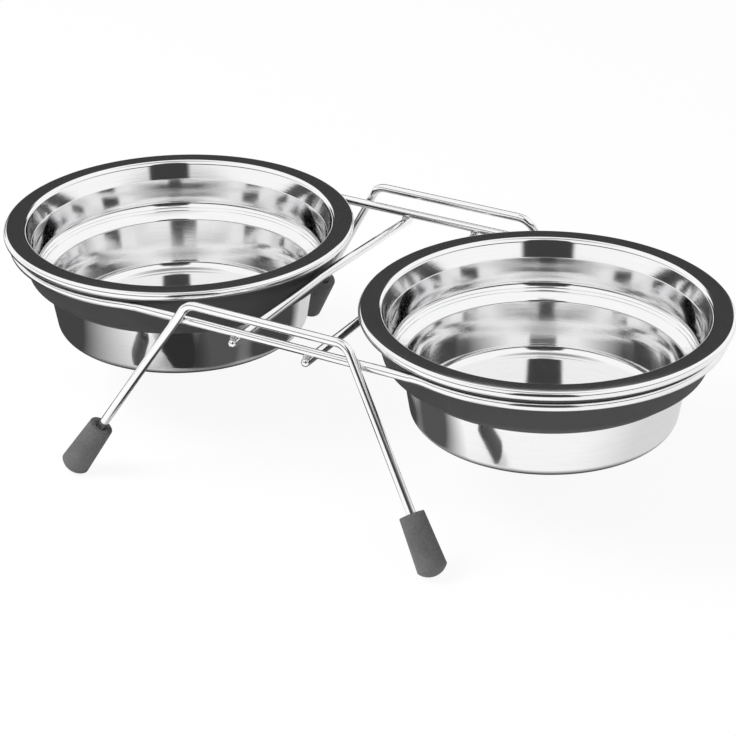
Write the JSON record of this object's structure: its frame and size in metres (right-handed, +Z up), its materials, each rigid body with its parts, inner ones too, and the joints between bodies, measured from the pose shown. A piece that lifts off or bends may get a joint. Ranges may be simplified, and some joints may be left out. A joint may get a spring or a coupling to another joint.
{
  "type": "raised double pet bowl",
  "caption": "Raised pet feeder: stepped steel bowls with rubber collars rest in an oval wire holder on splayed legs with rubber foot caps, and lift straight out.",
  "frame": {"origin": "on the floor, midway between the bowls' axes", "axes": "+X from the left bowl to the right bowl, +Y towards the back, +Z up"},
  "size_m": [0.3686, 0.2122, 0.0931],
  "materials": {
    "bowl_steel": "mirror polished pressed stainless steel",
    "holder_wire": "bright plated steel wire",
    "collar_rubber": "matte dark grey",
    "foot_rubber": "matte mid grey, moulded"
  },
  "bodies": {
    "holder": {"holder_loop": "holder_wire", "cross_wire_left": "holder_wire", "cross_wire_right": "holder_wire", "front_leg_wire": "holder_wire", "back_leg_wire": "holder_wire", "foot_front_left": "foot_rubber", "foot_front_right": "foot_rubber", "foot_back_left": "foot_rubber", "foot_back_right": "foot_rubber"},
    "left_bowl": {"bowl_left": "bowl_steel", "collar_left": "collar_rubber"},
    "right_bowl": {"bowl_right": "bowl_steel", "collar_right": "collar_rubber"}
  },
  "joints": [
    {"name": "left_bowl_lift", "type": "slide", "parent": "holder", "child": "left_bowl", "axis": [0, 0, 1], "range_m": [0, 0.11]},
    {"name": "right_bowl_lift", "type": "slide", "parent": "holder", "child": "right_bowl", "axis": [0, 0, 1], "range_m": [0, 0.11]}
  ]
}
